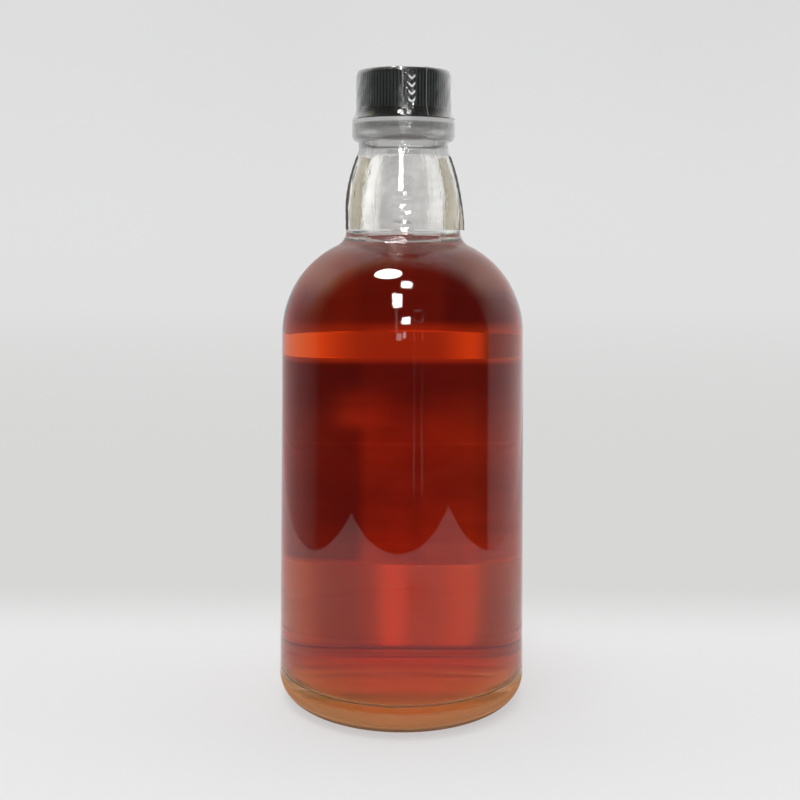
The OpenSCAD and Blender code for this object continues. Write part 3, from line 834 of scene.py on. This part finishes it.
def make_insert():
    """The cap's threaded inner part."""
    thread_h, turns, phase = 0.7, 2.4, 0.5

    def threaded(a, r, z):
        wall = (np.abs(r - INSERT_IN_R) < 0.01) & (z < LINER_TOP_Z - 0.6) & (z > INSERT_Z + 0.2)
        return np.where(wall, r - thread(a, z, thread_h, turns, phase), r), z

    rows = joined(
        line((0, LINER_TOP_Z), (INSERT_IN_R, LINER_TOP_Z), 2),
        line((INSERT_IN_R, LINER_TOP_Z), (INSERT_IN_R, INSERT_Z + INSERT_EDGE), 60),
        [(INSERT_IN_R + INSERT_EDGE, INSERT_Z), (INSERT_OUT_R - 0.1, INSERT_Z)],
        line((INSERT_OUT_R, INSERT_Z + 0.1), (INSERT_OUT_R, INSERT_TOP_Z), 2),
        line((INSERT_OUT_R, INSERT_TOP_Z), (0, INSERT_TOP_Z), 2),
    )
    insert = lathe("cap_insert_threaded", rows, 192, shape=threaded, smooth_angle=50)
    put(insert, insert_material(), "cap", "cap_insert")


def make_seals():
    """The foil on the rim, pressed a little into the mouth, and the foam over it."""
    foil_rows = joined(
        [(0, MOUTH_Z + 0.02), (BORE_R - 0.5, MOUTH_Z + 0.02), (BORE_R + 0.2, MOUTH_Z + 0.1)],
        [(SEAL_R, MOUTH_Z + 0.1), (SEAL_R + 0.1, MOUTH_Z + 0.2), (SEAL_R, SEAL_TOP_Z)],
        [(BORE_R + 0.5, SEAL_TOP_Z), (BORE_R - 0.1, SEAL_TOP_Z - 0.1), (0, SEAL_TOP_Z - 0.1)],
    )
    foil = lathe("rim_seal_foil", foil_rows, 128, smooth_angle=60)
    put(foil, foil_material(), "seal", "rim_seal")

    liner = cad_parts["liner_disc"]
    liner.data.materials.clear()
    liner.data.materials.append(foam_material())


def film_rows(top_z, lip):
    """Outer side of the upper film from the perforation up, and its inner side back down. lip says whether it
    turns in over the cap's top."""
    flare = BEAD_R + FILM_GAP
    low = flare + (FILM_R - flare) * 0.075
    inside = joined(
        curve((low, SEAM_Z + SEAM_HALF), (FILM_R + 0.25, SEAM_Z + 2.4), (FILM_R, FLARE_Z), 10),
        line((FILM_R, FLARE_Z), (FILM_R, top_z), 24),
    )
    outside = inside + [FILM_T, 0]
    if not lip:
        return joined(outside, inside[::-1])

    # The lip turns in over the cap's edge.
    out_r, out_z = FILM_R + FILM_T, top_z + FILM_T
    edge = joined(
        curve((out_r, top_z - 0.9), (out_r, out_z), (FILM_R - 0.8, out_z), 8),
        line((FILM_R - 0.8, out_z), (out_r - FILM_LIP, out_z), 8),
    )
    under = edge[::-1] - [0.05, FILM_T * 0.9]
    below = inside[:, 1] < top_z - 1.0
    return joined(outside[below], edge, under, inside[below][::-1])


def make_film():
    """Shrunk film over cap and bead: the sleeve, the tear strip in its gap, and the band under the seam."""
    wave_h, flutter_h, slack_h, fold_h = 0.05, 0.04, 0.3, 0.07

    def slack(a, r, z):
        """The sleeve hangs loose and wavy between its seam and its top."""
        turn = np.radians(a)
        wave = wave_h * np.sin(turn * 7 + z * 0.5) + flutter_h * np.sin(turn * 17 - z * 0.9)
        wave = wave * smooth(z, SEAM_Z + 0.2, SEAM_Z + 3) * smooth(z, FILM_TOP_Z - 0.2, FILM_TOP_Z - 2.5)
        loose = smooth(z, SEAM_Z + 1.0, SEAM_Z + 4.0) * smooth(z, FILM_TOP_Z - 0.3, FILM_TOP_Z - 2.0)
        return r - 0.05 + (wave + slack_h * loose) * (r > FILM_R - 0.2), z

    def puckered(a, r, z):
        """The strip has small upright folds."""
        fold = fold_h * np.sin(np.radians(a) * 46 + np.sin(z * 1.3) * 1.5)
        return r - 0.08 + fold * smooth(z, 216.4, 214) * smooth(z, 200.9, 203), z

    gap_half = STRIP_HALF + STRIP_SLIT
    sleeve = lathe("film_sleeve", film_rows(FILM_TOP_Z, True), 320, STRIP_MID + gap_half, 360 - 2 * gap_half,
                   shape=slack, loop=True, caps=True)
    put(sleeve, film_material("film_sleeve_clear", None, 0.45), "cap", "seal_sleeve")

    strip = lathe("film_tear_strip", film_rows(FILM_TOP_Z - 0.3, False), 64, STRIP_MID - STRIP_HALF,
                  2 * STRIP_HALF, shape=puckered, loop=True, caps=True)
    clear = film_material("film_strip_clear", strip_marks, 1.3)
    put(strip, clear, "tear_strip", "seal_tear_strip")

    flare = BEAD_R + FILM_GAP
    inside = joined(
        neck_rows(GROOVE_Z - 2.0, GROOVE_Z, FILM_GAP, 8), bead_rows(FILM_GAP, 16),
        curve((flare, BEAD_TOP_Z - BEAD_EDGE), (flare, BEAD_TOP_Z), (flare - 0.1, SEAM_Z - SEAM_HALF), 8),
    )
    neck_band = lathe("film_neck_band", joined(inside + [FILM_T, 0], inside[::-1]), 256, loop=True)
    clear = film_material("film_band_clear", band_marks, 0.6, 0.16)
    put(neck_band, clear, "bottle", "seal_neck_band")


# ------------ stage
BACKDROP = rgb(221, 221, 222)


def lamp_light(n, way, x, y, z, shiny):
    """Level of the small lamps in front, and of a dim stand beside them, brighter for mirrored light."""
    uneven = n.math("SUBTRACT", n.noise(way, 26.0, 2.0, 0.5), 0.5)
    front = n.mul(y, -1.0)

    def patch(u, v, side, left, right, low, high, soft=0.008):
        """A lamp by its extent along u and v, on the side where side is above 0. A soft one is uneven too."""
        shift = 0.0 if soft < 0.01 else 0.07
        u, v = n.linear(uneven, shift, u), n.linear(uneven, -shift, v)
        shape = n.mul(n.inside(u, left, right, soft), n.inside(v, low, high, soft))
        return n.mul(shape, n.math("GREATER_THAN", side, 0.0))

    across = n.math("DIVIDE", n.math("ADD", x, 0.175), 0.165)
    along = n.math("DIVIDE", n.math("ADD", n.linear(x, 0.11, y), 0.185), 0.12)
    oval = n.math("ADD", n.mul(across, across), n.mul(along, along))
    lamps = n.mul(n.step(oval, 1.05, 0.93), n.math("GREATER_THAN", z, 0.0))
    for share, u, v, side, *extent in (
            (1.0, x, y, z, -0.015, 0.115, -0.495, -0.37, 0.022),
            (1.0, x, z, front, -0.15, -0.018, 0.585, 0.79, 0.014),
            (1.0, x, z, front, -0.02, 0.115, 0.295, 0.415, 0.02),
            (0.16, x, z, front, 0.004, 0.05, 0.02, 0.15),
            (0.10, x, z, front, -0.10, -0.02, -0.03, 0.12, 0.012),
            (0.03, x, z, front, -0.115, -0.085, 0.10, 0.58)):
        lamps = n.linear(patch(u, v, side, *extent), share, lamps)

    stand = 0.0
    for bar in ((0.172, 0.182, -0.20, 0.53), (0.292, 0.306, -0.20, 0.53),
                (0.17, 0.30, 0.33, 0.345), (0.17, 0.28, 0.52, 0.54)):
        stand = n.math("ADD", stand, patch(x, z, front, *bar))
    stand = n.mul(stand, n.step(n.noise(way, (1.0, 1.0, 9.0), 2.0), 0.35, 0.7))
    return n.linear(lamps, n.linear(shiny, 28.0, 8.0), n.mul(stand, n.mul(shiny, 1.5)))


def tent_light(n, way, x, y, z, shiny):
    """Light of a pale tent behind and over the object, an open dark front, and small lamps in it."""
    tent = n.step(y, -0.10, -0.02)
    wall = n.linear(n.step(x, -0.3, 0.3), 0.33, n.linear(y, 0.45, 0.18))
    roof = n.linear(n.step(y, -0.08, 0.34), 1.0, 0.10)
    sheen = n.linear(n.step(z, 0.12, 0.62), n.math("SUBTRACT", roof, wall), wall)
    plain = 0.98
    lit = n.linear(shiny, n.math("SUBTRACT", sheen, plain), plain)
    dim = n.linear(shiny, -0.30, 0.33)
    tone = n.math("ADD", n.mul(tent, lit), n.mul(n.flipped(tent), dim))

    warm = n.mul(shiny, n.step(z, 0.10, 0.25), n.step(y, 0.35, 0.15))
    tint = n.colour(n.step(x, -0.1, 0.1), (1.0, 0.86, 0.56), (1.0, 0.94, 0.85))
    light = n.add("CombineXYZ", {0: tone, 1: tone, 2: n.mul(tone, 1.005)})
    light = n.colour(1.0, light, n.colour(warm, (1.0, 1.0, 1.0), tint), "MULTIPLY")
    return n.vector("ADD", light, n.grey(lamp_light(n, way, x, y, z, shiny)))


def bent_light(n, x, y, z):
    """What light bent by glass and liquid meets in place of the tent: two rows of soft upright pools of light
    and shade, one over the other, each placed by how far it lies to the side."""
    slope = n.math("DIVIDE", x, n.math("MAXIMUM", y, 0.02))
    far = 90.0

    def pools(level, *shapes):
        """A level, raised inside each shape from low to high by its height."""
        for low, high, soft, height in shapes:
            level = n.linear(n.inside(slope, low, high, soft), height, level)
        return level

    upper = pools(0.51, (0.29, far, 0.17, 0.62), (-0.375, -0.20, 0.10, 0.50), (-far, -0.38, 0.07, -0.30))
    lower = pools(0.35, (-0.40, 0.13, 0.10, 0.24), (-0.012, 0.085, 0.04, 0.30),
                  (-0.36, -0.18, 0.06, 0.15), (0.47, far, 0.13, 0.14))
    level = n.linear(n.step(z, -0.16, -0.24), n.math("SUBTRACT", lower, upper), upper)
    low = n.inside(z, -0.58, -0.27, 0.02)
    side = n.mul(n.step(slope, 0.34, 0.58), n.math("MAXIMUM", low, n.inside(z, -0.14, -0.095, 0.01)))
    green = n.mul(n.linear(low, 0.25, n.mul(side, 0.3)), n.step(y, 0.55, 0.62))
    pooled = n.add("CombineXYZ", {0: level, 1: n.mul(level, n.math("ADD", green, 1.0)), 2: level})
    plain = n.math("MAXIMUM", n.step(y, 0.5, 0.3), n.step(z, -0.07, -0.03))
    return n.colour(plain, n.colour(1.0, pooled, BACKDROP, "MULTIPLY"), BACKDROP)


def make_world():
    """The backdrop as seen, the tent's light, and the pools that bent light meets."""
    world = bpy.data.worlds.new("tent")
    bpy.context.scene.world = world
    world.use_nodes = True
    n = Nodes(world.node_tree)
    way = n.add("TexCoord", out=0)
    x, y, z = n.axes(way)
    path = n.add("LightPath").node.outputs

    folds = n.step(n.noise(way, (3.0, 3.0, 1.4), 3.0, 0.5), 0.35, 0.65)
    pale = n.colour(n.step(z, 0.0, 0.2), rgb(224, 224, 224), rgb(219, 219, 219))
    pale = n.colour(n.mul(folds, 0.35), pale, rgb(226, 226, 227))
    bent = n.mul(path["Is Transmission Ray"], n.flipped(path["Is Diffuse Ray"]))
    light = n.colour(bent, tent_light(n, way, x, y, z, path["Is Glossy Ray"]), bent_light(n, x, y, z))
    background = n.add("Background", {"Color": n.colour(path["Is Camera Ray"], light, pale), "Strength": 1.0})
    output = world.node_tree.nodes.new("ShaderNodeOutputWorld")
    world.node_tree.links.new(background, output.inputs["Surface"])


def floor_material():
    """Pale cloth that keeps the object's shadow and runs out into the backdrop. Light bent by glass meets a
    painted warm glow under the object, darker at its middle, standing for light through the liquid; behind
    the object it passes on to the world."""
    n, finish = material("floor_cloth")
    where, x, y = n.place()[:3]
    path = n.add("LightPath").node.outputs
    bent = path["Is Transmission Ray"]
    far = n.radius(x, y)
    foot_r = BODY_LOW_R + 0.6

    weave = n.noise(where, 1500.0, 2.0, 0.5)
    folds = n.noise(where, (5, 9, 1), 3.0, 0.5)
    normal = n.bump(weave, 0.12, 0.3, n.bump(folds, 0.25, 10.0))
    cloth = n.add("BsdfDiffuse", {"Color": (0.85, 0.85, 0.852), "Normal": normal})
    lift = n.glow(n.colour(n.step(y, 20.0, -200.0), rgb(232, 232, 232), rgb(246, 246, 246)))
    cloth = n.mix(n.mul(path["Is Camera Ray"], 0.6), cloth, lift)
    reach = n.math("MAXIMUM", n.math("ABSOLUTE", y), n.mul(n.math("ABSOLUTE", x), 0.8))
    haze = n.glow(n.colour(n.step(reach, 2200.0, 250.0), rgb(224, 224, 224), rgb(215, 215, 214)))
    outside = n.math("MAXIMUM", n.step(far, 280.0, 600.0), n.step(y, 50.0, 130.0))
    shader = n.mix(outside, cloth, haze)

    clear = n.add("BsdfTransparent", {"Color": (1.0, 1.0, 1.0)})
    open_part = n.math("MAXIMUM", n.inside(y, 32.0, 215.0, 2.0), n.step(y, 940.0, 960.0))
    shader = n.mix(n.mul(bent, open_part), shader, clear)
    # A painted glow of warm light under the object, darker at its middle, that only bent light meets.
    painted_light_pool = n.glow(n.colour(n.step(far, 18.0, 36.0), (0.42, 0.17, 0.07), (0.62, 0.33, 0.17)))
    shader = n.mix(n.mul(bent, n.step(far, foot_r + 1.0, foot_r - 1.0)), shader, painted_light_pool)

    # The table's top ends at its sides and in front, and mirrored light sees past it.
    table = n.mul(n.inside(x, -262.0, 262.0, 3.0), n.step(n.linear(x, 0.06, y), -288.0, -282.0),
                  n.step(y, 1200.0, 1100.0))
    past = n.mul(path["Is Glossy Ray"], n.flipped(table))
    return finish(n.mix(past, shader, clear))


def make_stage():
    """A floor with finer faces near the object, a hair below it."""
    floor_z = -0.05
    steps = np.geomspace(10, 6000, 24)
    steps = np.concatenate([-steps[::-1], [0], steps])
    xs, ys = np.meshgrid(steps, steps, indexing="ij")
    verts = np.stack([xs, ys, np.full_like(xs, floor_z)], -1).reshape(-1, 3)
    k = len(steps)
    corners = [i * k + j for i in range(k - 1) for j in range(k - 1)]
    floor = new_object("floor", verts, [[c, c + k, c + k + 1, c + 1] for c in corners])
    floor.data.materials.append(floor_material())


def make_camera():
    """The photograph's view, fitted to the bottle's outline in it."""
    down, lean = 6.04, 0.258
    place = Vector((-0.95, -413.6, 165.3)) * MM
    data = bpy.data.cameras.new("camera")
    data.lens, data.sensor_width, data.shift_y = 54.0, 36.0, -0.06
    data.clip_start, data.clip_end = 0.01, 50.0
    camera = bpy.data.objects.new("camera", data)
    bpy.context.scene.collection.objects.link(camera)
    turn = Matrix.Rotation(math.radians(90 - down), 4, "X") @ Matrix.Rotation(math.radians(lean), 4, "Z")
    camera.matrix_world = Matrix.Translation(place) @ turn
    bpy.context.scene.camera = camera


make_bottle()
make_labels()
make_shell()
make_insert()
make_seals()
make_film()
make_stage()
make_world()
make_camera()
bpy.context.scene.view_settings.view_transform = "Standard"
